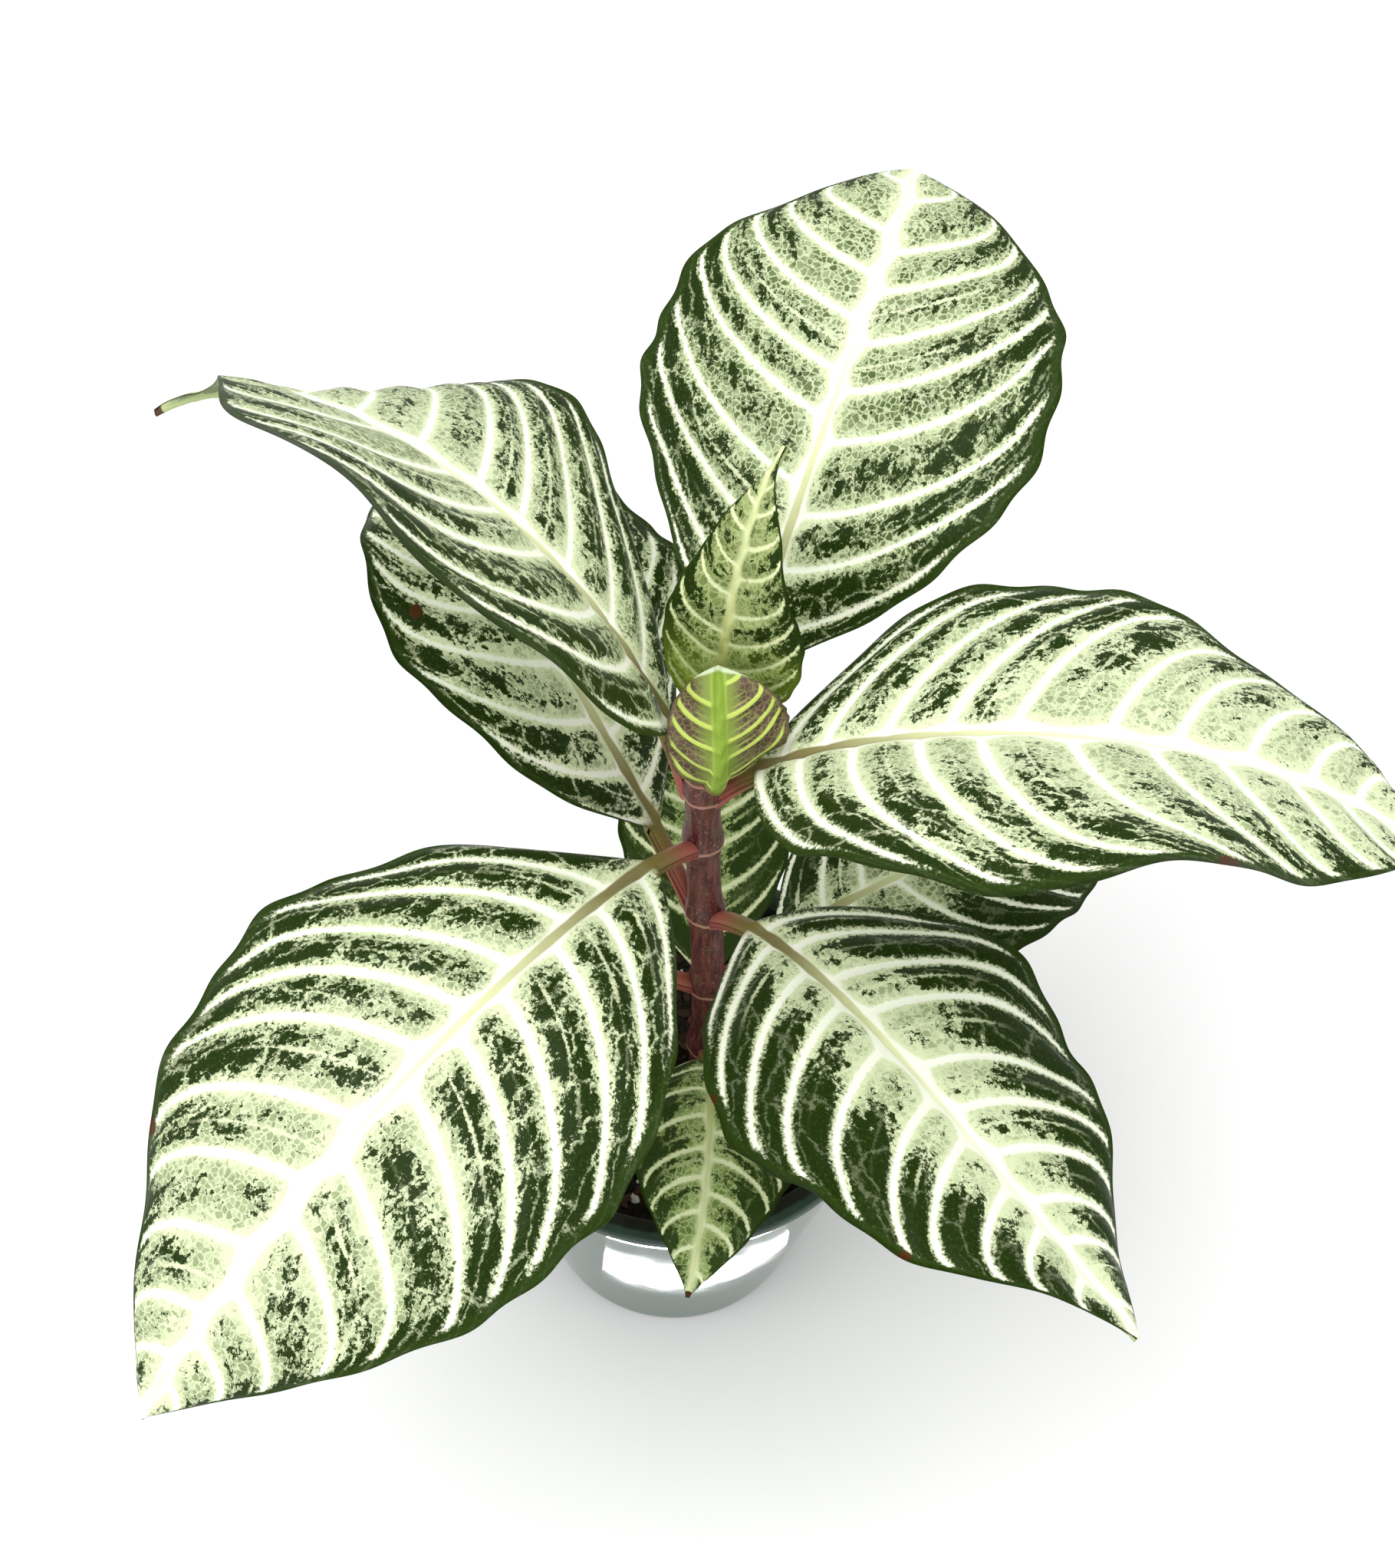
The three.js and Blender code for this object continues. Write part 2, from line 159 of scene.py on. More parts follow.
def place(piece, node):
    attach(piece, "root")
    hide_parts(node)


def grid_faces(rows, columns, first=0, closed=False):
    """Quads of a grid of vertices listed row by row; closed joins the last column to the first."""
    row, column = np.meshgrid(np.arange(rows - 1), np.arange(columns if closed else columns - 1),
                              indexing="ij")
    following = (column + 1) % columns
    corners = [row * columns + column, row * columns + following,
               (row + 1) * columns + following, (row + 1) * columns + column]
    return first + np.stack([corner.ravel() for corner in corners], axis=1)


def lathe(name, profile, segments):
    """Turns [radius, height] points, which start and end on the axis, about Z."""
    profile = np.asarray(profile, dtype=float)
    inner = profile[1:-1]
    angle = np.linspace(0, 2 * np.pi, segments, endpoint=False)
    ring = np.stack([np.cos(angle), np.sin(angle)], axis=1)
    body = np.concatenate([np.column_stack([radius * ring, np.full(segments, height)])
                           for radius, height in inner])
    ends = np.array([[0, 0, profile[0, 1]], [0, 0, profile[-1, 1]]])
    faces = grid_faces(len(inner), segments, closed=True).tolist()
    start, end = len(body), len(body) + 1
    last = (len(inner) - 1) * segments
    for i in range(segments):
        j = (i + 1) % segments
        faces.append([start, j, i])
        faces.append([end, last + i, last + j])
    return mesh_object(name, np.concatenate([body, ends]), faces)


def arc(centre, radius, start, end, steps=6):
    """Points of a round edge in a profile, from one angle in degrees to another."""
    angles = np.radians(np.linspace(start, end, steps))
    return [[centre[0] + radius * math.cos(a), centre[1] + radius * math.sin(a)] for a in angles]


# ---- shape of the stem and leaves -----------------------------------------------------------------

def blend(values, u):
    """A smooth blend (Bezier curve) of the values from u = 0 to u = 1."""
    degree = len(values) - 1
    u = np.asarray(u, dtype=float)
    return sum(math.comb(degree, i) * (1 - u) ** (degree - i) * u ** i * value
               for i, value in enumerate(values))


def smoothstep(low, high, x):
    k = np.clip((np.asarray(x, dtype=float) - low) / (high - low), 0, 1)
    return k * k * (3 - 2 * k)


def stem_axis(z):
    lean = smoothstep(LEAN["from"], LEAN["to"], z)
    x = LEAN["foot_x"] + (LEAN["top_x"] - LEAN["foot_x"]) * lean
    return np.stack([x, np.full_like(x, LEAN["y"]), np.asarray(z, dtype=float)], axis=-1)


def midrib(leaf):
    """The leaf's middle line, one point a millimetre, with its along, side and up directions."""
    total = leaf["petiole"] + leaf["length"]
    heading = np.radians(leaf["heading"][0])
    start = stem_axis(np.array(float(NODES[leaf["node"]])))
    start = start + LEAF_START * np.array([np.cos(heading), np.sin(heading), 0])

    def along_at(u):
        turn, slope = np.radians(blend(leaf["heading"], u)), np.radians(blend(leaf["rise"], u))
        flat = np.cos(slope)
        along = np.stack([flat * np.cos(turn), flat * np.sin(turn), np.sin(slope)], axis=-1)
        side = np.stack([-np.sin(turn), np.cos(turn), np.zeros_like(turn)], axis=-1)
        return along, side

    steps = along_at((np.arange(total) + 0.5) / total)[0]
    points = np.concatenate([start[None], start + np.cumsum(steps, axis=0)])
    along, side = along_at(np.arange(total + 1) / total)
    return points, along, side, np.cross(along, side)


def outline(leaf, t):
    base, tip = leaf["shape"]
    widest = base / (base + tip)
    scale = widest ** base * (1 - widest) ** tip
    inside = np.clip(t, 0, 1)
    drawn_in = 1 - leaf.get("drip", 0) * smoothstep(*DRIP, inside)
    return drawn_in * inside ** base * (1 - inside) ** tip / scale


def vein_phase(leaf, t, v, half_width, seed):
    """Whole numbers from 0 lie on the side veins, which leave the midrib at a slant and arch to the tip."""
    out = np.clip(np.abs(v), 0, 1)
    along = t - half_width * (0.23 * out + 0.47 * out ** 2.2 + 0.22 * out ** 8) / leaf["length"]
    uneven = 0.13 * np.sin(2 * np.pi * (1.7 * along + seed)) + 0.08 * np.sin(2 * np.pi * (4.1 * along + seed))
    return leaf["veins"] * (along - 0.03) + uneven


def vein_spacing(phase, s, y):
    """How far apart two neighbouring side veins are at each point."""
    per_column = np.gradient(y, axis=1)
    across = np.gradient(phase, axis=1) / per_column
    along = (np.gradient(phase, axis=0) - across * np.gradient(y, axis=0)) / np.gradient(s, axis=0)
    return np.clip(1 / np.maximum(np.hypot(along, across), 1e-6), *VEIN_SPACING)


def build_leaf(name, leaf, seed):
    total = leaf["petiole"] + leaf["length"]
    points, along, side, up = midrib(leaf)

    # Rows from the stalk's root to the tip, and columns from the right margin (-1) to the left (1).
    root = -(leaf["petiole"] + LEAF_ROOT) / leaf["length"]
    stalk_rows = max(10, round(leaf["petiole"] * 0.8))
    t = np.concatenate([np.linspace(root, 0, stalk_rows, endpoint=False),
                        1 - (1 - np.linspace(0, 1, leaf["rows"])) ** 1.12])
    across = np.linspace(-1, 1, 2 * (leaf["columns"] // 2) + 1)
    v = across * (0.55 + 0.45 * np.abs(across))
    t, v = np.meshgrid(t, v, indexing="ij")

    s = leaf["petiole"] + t * leaf["length"]
    inside = np.clip(s, 0, total)

    def at(values):
        return np.stack([np.interp(inside, np.arange(total + 1), values[:, k]) for k in range(3)], axis=-1)

    centre, along, side, up = at(points), at(along), at(side), at(up)
    centre = centre + along * np.minimum(s, 0)[..., None]

    on_blade = np.clip(t, 0, 1)
    stalk = STALK_RADIUS + (TIP_RADIUS - STALK_RADIUS) * on_blade
    blade = np.where(v > 0, leaf["width"][0], leaf["width"][1]) * outline(leaf, t)
    ripple = 1 + 0.012 * np.sin(2 * np.pi * (9 * t + seed)) * np.abs(v) ** 4
    half_width = np.hypot(blade * ripple, stalk)
    flatness = np.clip(blade / (4 * STALK_RADIUS), 0, 1)
    out = np.abs(v)
    bend = np.radians(leaf["camber"])
    fold = np.radians(leaf["fold"]) * np.clip(blade / STALK_RADIUS, 0, 1)
    reach = half_width * (np.sin(fold) - np.sin(fold - bend * out)) / bend
    height = half_width * (np.cos(fold - bend * out) - np.cos(fold)) / bend
    envelope = np.sin(np.pi * on_blade) ** 0.7
    for wave_side, amount, count, start in leaf["waves"]:
        wave = amount * out ** 2 * np.sin(2 * np.pi * (count * on_blade + start)) * envelope
        height = height + np.where(v * wave_side > 0, wave, 0)

    # The blade bulges between its side veins, and the veins stand out underneath.
    phase = vein_phase(leaf, t, v, half_width, seed)
    strip_width = vein_spacing(phase, s, v * half_width)
    phase = phase + np.where(v > 0, 0.0, RIGHT_VEINS)
    from_vein = np.where(phase < -0.5, 0.5, np.abs(phase - np.round(phase)))
    spacing = 0.8 * leaf["length"] / leaf["veins"]
    scale = spacing / 13
    bulge = np.sin(np.pi * from_vein) ** 2 * np.sin(np.pi * np.clip(out, 0, 1)) ** 0.6 * flatness
    height = height + RELIEF["bulge"] * scale * bulge
    height = height + RELIEF["sway"] * flatness * out * np.sin(2 * np.pi * (2.3 * t + 0.8 * v + seed))
    groove = np.exp(-((reach / (1.1 * stalk)) ** 2)) * flatness
    side_vein = np.exp(-((from_vein * spacing / 0.9) ** 2)) * (1 - out) ** 0.5 * flatness
    dome = (1 - flatness) * stalk * 0.35 * np.sqrt(np.clip(1 - v * v, 0, 1))
    top = height + dome - RELIEF["rib_groove"] * groove - RELIEF["vein_groove"] * side_vein
    edge = np.sqrt(np.clip(1 - out ** 6, 0, 1))
    thickness = THICKNESS["margin"] + (THICKNESS["blade"] + THICKNESS["stalk"] * (1 - flatness)) * edge
    rib = RELIEF["rib"] * (stalk / STALK_RADIUS) * np.sqrt(np.clip(1 - (reach / (1.2 * stalk)) ** 2, 0, 1))
    bottom = height - thickness - rib * (0.75 + 0.25 * (1 - flatness)) - RELIEF["vein_below"] * side_vein

    roll = np.radians(blend(leaf["roll"], on_blade))[..., None]
    tilted_side = side * np.cos(roll) + up * np.sin(roll)
    tilted_up = up * np.cos(roll) - side * np.sin(roll)
    base = centre + tilted_side * (np.sign(v) * reach)[..., None]
    upper = base + tilted_up * top[..., None]
    lower = base + tilted_up * bottom[..., None]

    rows, columns = t.shape
    count = rows * columns
    top_faces = grid_faces(rows, columns)[:, ::-1]
    bottom_faces = grid_faces(rows, columns, first=count)
    rim = []
    for i in range(rows - 1):
        here, there = i * columns, (i + 1) * columns
        rim.append([here, there, there + count, here + count])
        here, there = here + columns - 1, there + columns - 1
        rim.append([there, here, here + count, there + count])
    for j in range(columns - 1):
        rim.append([j + 1, j, j + count, j + 1 + count])
        far = (rows - 1) * columns + j
        rim.append([far, far + 1, far + 1 + count, far + count])
    vertices = np.concatenate([upper.reshape(-1, 3), lower.reshape(-1, 3)]) * MM
    piece = mesh_object(name + "_grown", vertices, np.concatenate([top_faces, bottom_faces, rim]))

    scorch = np.zeros_like(t)
    for spot_t, spot_v, radius in leaf["scorch"]:
        apart = np.hypot((t - spot_t) * leaf["length"], np.abs(v - spot_v) * half_width)
        scorch = np.maximum(scorch, np.exp(-((apart / radius) ** 2)))
    flat = np.stack([s * MM, np.sign(v) * reach * MM, np.full_like(t, seed)], axis=-1).reshape(-1, 3)
    spot = np.stack([t, out, phase], axis=-1).reshape(-1, 3)
    extra = np.stack([scorch, flatness, strip_width * MM], axis=-1).reshape(-1, 3)
    for label, values in (("leaf_flat", flat), ("leaf_place", spot), ("leaf_extra", extra)):
        point_attribute(piece, label, np.concatenate([values, values]))
    materials = leaf_materials(name, leaf, spacing)
    for material in materials:
        piece.data.materials.append(material)
    under = np.zeros(len(piece.data.polygons), dtype=np.int32)
    under[len(top_faces):len(top_faces) + len(bottom_faces)] = 1
    piece.data.polygons.foreach_set("material_index", under)
    place(piece, name)
    return piece


# ---- material graphs ------------------------------------------------------------------------------

class Graph:
    """A short way to write a node material."""

    def __init__(self, name):
        self.material = bpy.data.materials.new(name)
        self.material.use_nodes = True
        self.tree = self.material.node_tree
        self.shader = self.tree.nodes["Principled BSDF"]

    def wire(self, value, socket):
        if isinstance(value, bpy.types.NodeSocket):
            self.tree.links.new(value, socket)
        else:
            socket.default_value = value

    def attribute(self, name):
        node = self.tree.nodes.new("ShaderNodeAttribute")
        node.attribute_name = name
        return node.outputs["Vector"]

    def object_coordinates(self):
        return self.tree.nodes.new("ShaderNodeTexCoord").outputs["Object"]

    def split(self, vector):
        node = self.tree.nodes.new("ShaderNodeSeparateXYZ")
        self.wire(vector, node.inputs[0])
        return node.outputs

    def math(self, operation, *values, clamp=False):
        node = self.tree.nodes.new("ShaderNodeMath")
        node.operation = operation
        node.use_clamp = clamp
        for value, socket in zip(values, node.inputs):
            self.wire(value, socket)
        return node.outputs[0]

    def add(self, first, *others):
        for other in others:
            first = self.math("ADD", first, other)
        return first

    def times(self, first, second):
        return self.math("MULTIPLY", first, second)

    def minus(self, first, second, clamp=False):
        return self.math("SUBTRACT", first, second, clamp=clamp)

    def scaled(self, vector, factors):
        node = self.tree.nodes.new("ShaderNodeVectorMath")
        node.operation = "MULTIPLY"
        self.wire(vector, node.inputs[0])
        node.inputs[1].default_value = factors
        return node.outputs[0]

    def noise_colour(self, vector, scale):
        node = self.tree.nodes.new("ShaderNodeTexNoise")
        self.wire(vector, node.inputs["Vector"])
        node.inputs["Scale"].default_value = scale
        return node.outputs["Color"]

    def random(self, vector):
        node = self.tree.nodes.new("ShaderNodeTexWhiteNoise")
        self.wire(vector, node.inputs["Vector"])
        return node.outputs["Value"]

    def vector(self, x, y, z):
        node = self.tree.nodes.new("ShaderNodeCombineXYZ")
        for value, socket in zip((x, y, z), node.inputs):
            self.wire(value, socket)
        return node.outputs[0]

    def shifted(self, vector, noise, amount):
        """The vector moved about by a noise colour, by up to half the amount each way."""
        node = self.tree.nodes.new("ShaderNodeVectorMath")
        node.operation = "MULTIPLY_ADD"
        self.wire(noise, node.inputs[0])
        node.inputs[1].default_value = (amount, amount, 0)
        self.wire(vector, node.inputs[2])
        return node.outputs[0]

    def step(self, value, low, high):
        """A smooth rise from 0 at low to 1 at high."""
        node = self.tree.nodes.new("ShaderNodeMapRange")
        node.interpolation_type = "SMOOTHSTEP"
        self.wire(value, node.inputs["Value"])
        self.wire(low, node.inputs["From Min"])
        self.wire(high, node.inputs["From Max"])
        return node.outputs["Result"]

    def span(self, value, low, high, start, end):
        """A straight change from start at low to end at high."""
        node = self.tree.nodes.new("ShaderNodeMapRange")
        for socket, number in zip(node.inputs, (value, low, high, start, end)):
            self.wire(number, socket)
        return node.outputs["Result"]

    def mix(self, amount, first, second):
        node = self.tree.nodes.new("ShaderNodeMix")
        node.data_type = "RGBA"
        self.wire(amount, node.inputs[0])
        self.wire(first, node.inputs[6])
        self.wire(second, node.inputs[7])
        return node.outputs[2]

    def noise(self, vector, scale, detail=2.0, rough=0.5):
        node = self.tree.nodes.new("ShaderNodeTexNoise")
        self.wire(vector, node.inputs["Vector"])
        node.inputs["Scale"].default_value = scale
        node.inputs["Detail"].default_value = detail
        node.inputs["Roughness"].default_value = rough
        return node.outputs[0]

    def cells(self, vector, scale, feature="F1"):
        node = self.tree.nodes.new("ShaderNodeTexVoronoi")
        node.feature = feature
        self.wire(vector, node.inputs["Vector"])
        node.inputs["Scale"].default_value = scale
        return node.outputs

    def bump(self, height, strength, distance):
        node = self.tree.nodes.new("ShaderNodeBump")
        node.inputs["Strength"].default_value = strength
        node.inputs["Distance"].default_value = distance
        self.wire(height, node.inputs["Height"])
        self.wire(node.outputs["Normal"], self.shader.inputs["Normal"])

    def finish(self, colour, roughness, **uniform):
        self.wire(colour, self.shader.inputs["Base Color"])
        self.wire(roughness, self.shader.inputs["Roughness"])
        for socket, value in uniform.items():
            self.shader.inputs[socket.replace("_", " ")].default_value = value
        return self.material


DARK_GREEN = srgb(26, 42, 4)
MID_GREEN = srgb(66, 88, 40)
GREY_GREEN = srgb(84, 102, 54)
YELLOW_GREEN = srgb(198, 206, 112)
MARGIN_GREEN = srgb(38, 58, 8)
STALK_BROWN = srgb(166, 94, 84)
STALK_OLIVE = srgb(118, 108, 56)
SCORCH_BROWN = srgb(74, 44, 18)

# Tones of a leaf's pale ground, from its darker mottling to the cream of its veins.
TONES = {
    "grown": (GREY_GREEN, srgb(172, 185, 142), srgb(222, 231, 190), srgb(250, 252, 236)),
    "young": (srgb(86, 104, 46), srgb(142, 158, 96), srgb(186, 198, 140), srgb(232, 238, 190)),
    "dull": (srgb(78, 102, 38), srgb(142, 164, 92), srgb(198, 212, 152), srgb(242, 248, 206)),
}


USUAL_SPACING = 14  # millimetres between the side veins that the breadths below are given for


def leaf_materials(name, leaf, spacing):
    return [leaf_top(name, leaf, spacing), leaf_underside(name, leaf, spacing)]


def falling(graph, value, low, high):
    """1 below low, falling smoothly to 0 at high."""
    return graph.minus(1.0, graph.step(value, low, high))


def around(graph, value, amount):
    """A noise value of 0 to 1 turned into a swing about 0."""
    return graph.times(graph.minus(value, 0.5), amount)


def stalk_colour(graph, leaf, flat, along, flatness, blade):
    """Brown at the stem and olive towards the blade."""
    reached = graph.step(graph.split(flat)[0], 0.2 * leaf["petiole"] * MM, leaf["petiole"] * MM)
    stalk = graph.mix(reached, STALK_BROWN, STALK_OLIVE)
    on_stalk = graph.times(falling(graph, flatness, 0.15, 0.75), falling(graph, along, 0.12, 0.2))
    return graph.mix(on_stalk, blade, stalk)


def leaf_top(name, leaf, spacing):
    graph = Graph(name + "_top")
    flat = graph.attribute("leaf_flat")
    along, out, phase = graph.split(graph.attribute("leaf_place"))
    scorch, flatness, apart = graph.split(graph.attribute("leaf_extra"))
    _, side, seed = graph.split(flat)
    reach = graph.math("ABSOLUTE", side)
    young, dull = leaf.get("young", False), leaf.get("dull", False)
    size = leaf["white"] * spacing / USUAL_SPACING
    shade = smoothstep(0.55, 0.95, leaf["dark"])
    line_size = size * leaf.get("line", 1.0)
    low_tone, high_tone, pale, cream = TONES["young" if young else "dull" if dull else "grown"]
    low_tone = graph.mix(leaf.get("light", 0.3), low_tone, high_tone)
    high_tone = graph.mix(leaf.get("light", 0.3), high_tone, pale)

    # Coordinates that run across and along the strips between the side veins.
    strip = graph.vector(graph.times(phase, spacing * MM), graph.times(side, 0.85), seed)
    broad = graph.noise(flat, 42, 2)
    patch = graph.noise(flat, 190, 2, 0.5)
    streak = graph.noise(strip, 3300 / spacing, 7, 0.78)
    fine = graph.noise(flat, 900, 4, 0.8)
    ragged = graph.shifted(flat, graph.noise_colour(flat, 800), 0.0012)
    net = graph.cells(ragged, 620, "DISTANCE_TO_EDGE")["Distance"]
    cell = graph.split(graph.cells(ragged, 620, "F1")["Color"])[0]

    # How far a point lies from the nearest side vein: as a share of the strip, then in metres.
    bare = graph.step(graph.times(phase, -1.0), 0.42, 0.5)
    gap = graph.math("MAXIMUM", graph.math("PINGPONG", phase, 0.5), graph.times(bare, 0.5))
    vein = graph.times(gap, apart)
    half_line = graph.span(out, 0.0, 0.95, 0.00115 * line_size, 0.00030 * line_size)
    off_line = graph.minus(graph.add(vein, around(graph, patch, 0.0008)), half_line)
    vein_line = falling(graph, graph.add(off_line, around(graph, fine, 0.0022)), -0.0001, 0.0005)
    halo = graph.math("DIVIDE", off_line, graph.span(out, 0.0, 0.9, 0.0030 * size, 0.0014 * size))
    tatter = graph.add(around(graph, streak, 0.9), around(graph, fine, 3.2))
    vein_halo = falling(graph, graph.add(halo, tatter), 0.2, 0.8)

    # Between some pairs of side veins a thinner one starts from the midrib and fades out.
    chance = graph.random(graph.vector(graph.math("FLOOR", phase), graph.math("SIGN", side), seed))
    middle = graph.times(graph.minus(0.5, gap), apart)
    middle = graph.add(middle, graph.add(around(graph, patch, 0.0016), around(graph, fine, 0.0030)))
    faint = graph.times(falling(graph, middle, 0.0002, 0.0005), graph.step(chance, 0.55, 0.6))
    faint = graph.times(faint, falling(graph, graph.add(out, around(graph, broad, 0.5)), 0.4, 0.75))
    faint = graph.times(faint, graph.minus(1.0, bare))

    rib_half = graph.math("MINIMUM", graph.span(along, 0.0, 0.4, 0.0012 * size, 0.0030 * size),
                          graph.span(along, 0.5, 1.0, 0.0030 * size, 0.0016 * size))
    axil = graph.math("POWER", graph.minus(1.0, graph.times(gap, 2.0), clamp=True), 2.0)
    rib_half = graph.times(rib_half, graph.span(axil, 0.0, 1.0, 0.6, 1.7))
    off_rib = graph.minus(reach, rib_half)
    rib_line = falling(graph, graph.add(off_rib, around(graph, patch, 0.0010)), -0.0006, 0.0008)
    rib_halo = falling(graph, graph.add(graph.math("DIVIDE", off_rib, 0.0045 * size), tatter), 0.2, 0.9)

    # Cross veins join the side veins in a loose net.
    bent = graph.shifted(strip, graph.noise_colour(flat, 130), 0.007)
    loops = graph.cells(bent, 125, "DISTANCE_TO_EDGE")["Distance"]
    cross_vein = falling(graph, graph.add(loops, around(graph, fine, 0.5)), 0.0, 0.06)
    cross_vein = graph.times(cross_vein, graph.step(out, 0.1, 0.35))

    # Dark green gathers in the middle of each strip, more towards the margin and the leaf's base.
    share = graph.add(
        streak,
        around(graph, cell, 0.13),
        around(graph, fine, 0.50),
        around(graph, broad, 0.38),
        graph.span(gap, 0.04, 0.34, -0.17, 0.04),
        graph.span(out, 0.05 + 0.2 * shade, 0.85 - 0.25 * shade, -0.13 - 0.1 * shade, 0.07 + 0.14 * shade),
        graph.span(out, 0.84, 0.96, 0.0, 0.16),
        graph.span(along, 0.05, 0.95, 0.11, -0.05),
        graph.times(bare, 0.12),
        0.15 * leaf["dark"] - 0.04)
    share = graph.minus(share, graph.times(cross_vein, 0.12 - 0.05 * shade))
    dark = graph.step(share, 0.515, 0.535)

    mottle = graph.add(graph.add(broad, around(graph, cell, 0.5)), around(graph, fine, 0.5))
    tone = graph.mix(graph.step(mottle, 0.25, 0.75), low_tone, high_tone)
    tone = graph.mix(graph.times(falling(graph, net, 0.02, 0.14), 0.7), tone, pale)
    deep = graph.mix(graph.step(fine, 0.35, 0.75), DARK_GREEN, MARGIN_GREEN)
    fleck = graph.step(graph.noise(flat, 1300, 2, 0.6), 0.60, 0.68)
    deep = graph.mix(graph.times(fleck, 0.55), deep, GREY_GREEN)
    if dull:
        deep = graph.mix(0.4, deep, MID_GREEN)
    body = graph.mix(dark, tone, deep)
    body = graph.mix(graph.times(cross_vein, 0.45 - 0.3 * shade), body, high_tone)
    rim = graph.add(out, around(graph, fine, 0.09))
    edge = graph.step(rim, 0.93, 0.95)
    freckles = graph.mix(graph.times(graph.step(fine, 0.58, 0.66), 0.6), MARGIN_GREEN, GREY_GREEN)
    body = graph.mix(graph.times(edge, 0.92), body, freckles)

    inside = falling(graph, rim, 0.92, 0.95)
    band = graph.times(graph.math("MAXIMUM", vein_halo, rib_halo), inside)
    line = graph.times(graph.math("MAXIMUM", vein_line, rib_line), inside)
    colour = graph.mix(graph.times(graph.math("MAXIMUM", band, faint), 0.85), body, pale)
    colour = graph.mix(line, colour, cream)
    if young:
        base = graph.minus(0.85, graph.times(along, 2.2), clamp=True)
        colour = graph.mix(base, colour, srgb(136, 158, 48))

    # The midrib's own line is brown at the base, then yellow-green.
    rib_tone = graph.mix(graph.step(along, 0.06, 0.42), STALK_OLIVE, YELLOW_GREEN)
    rib_core = falling(graph, graph.minus(reach, graph.span(along, 0.0, 0.6, 0.0013, 0.0002)), 0.0, 0.0006)
    rib_share = graph.span(along, 0.1, 0.6, 0.95, 0.25)
    colour = graph.mix(graph.times(rib_core, rib_share), colour, rib_tone)
    colour = stalk_colour(graph, leaf, flat, along, flatness, colour)
    burnt = graph.step(graph.add(scorch, around(graph, fine, 0.3)), 0.35, 0.55)
    colour = graph.mix(burnt, colour, SCORCH_BROWN)

    graph.bump(graph.add(graph.times(net, 0.8), fine), 0.25, 0.0004)
    roughness = graph.span(dark, 0.0, 1.0, 0.52, 0.42)
    return graph.finish(colour, roughness, Specular_IOR_Level=0.09)


def leaf_underside(name, leaf, spacing):
    graph = Graph(name + "_underside")
    flat = graph.attribute("leaf_flat")
    along, out, phase = graph.split(graph.attribute("leaf_place"))
    scorch, flatness, apart = graph.split(graph.attribute("leaf_extra"))
    _, side, seed = graph.split(flat)
    reach = graph.math("ABSOLUTE", side)
    strip = graph.vector(graph.times(phase, spacing * MM), graph.times(side, 0.5), seed)
    streak = graph.noise(strip, 420, 5, 0.7)
    patch = graph.noise(flat, 260, 3, 0.6)
    net = graph.cells(flat, 620, "DISTANCE_TO_EDGE")["Distance"]
    gap = graph.math("PINGPONG", phase, 0.5)
    vein = graph.times(gap, apart)
    front_bud = name == "young_leaf_front"
    ground = srgb(112, 92, 78) if front_bud else srgb(112, 130, 82)
    patches = srgb(74, 54, 46) if front_bud else srgb(84, 106, 58)
    vein_tone = srgb(196, 214, 104) if front_bud else srgb(172, 186, 130)
    body = graph.mix(graph.step(streak, 0.35, 0.65), patches, ground)
    body = graph.mix(graph.times(falling(graph, net, 0.02, 0.12), 0.2), body, vein_tone)
    if front_bud:
        fan = graph.times(graph.math("PINGPONG", graph.times(phase, 3.0), 0.5), apart)
        fan = graph.times(falling(graph, fan, 0.0003, 0.0010), falling(graph, out, 0.25, 0.6))
        body = graph.mix(fan, body, srgb(150, 168, 84))
        inner = falling(graph, graph.add(reach, around(graph, streak, 0.004)), 0.002, 0.006)
        body = graph.mix(inner, body, srgb(134, 152, 70))
    line = 0.00035 if front_bud else 0.0006
    veins = falling(graph, graph.add(vein, around(graph, patch, 0.0004)), line, 2.2 * line)
    veins = graph.times(veins, falling(graph, out, 0.86, 0.95))
    rib = falling(graph, reach, 0.0011, 0.0022)
    body = graph.mix(graph.math("MAXIMUM", veins, rib), body, vein_tone)
    if front_bud:
        body = graph.mix(graph.step(out, 0.93, 0.97), body, srgb(96, 84, 62))
        body = graph.mix(rib, body, srgb(138, 168, 60))
        turned = graph.step(graph.add(along, graph.times(out, 0.03)), 0.965, 0.985)
        body = graph.mix(turned, body, srgb(206, 220, 184))
    colour = stalk_colour(graph, leaf, flat, along, flatness, body)
    colour = graph.mix(graph.step(scorch, 0.35, 0.55), colour, SCORCH_BROWN)
    graph.bump(graph.add(net, graph.noise(flat, 1500, 1)), 0.3, 0.0004)
    return graph.finish(colour, 0.55, Specular_IOR_Level=0.22)


# ---- stem -----------------------------------------------------------------------------------------

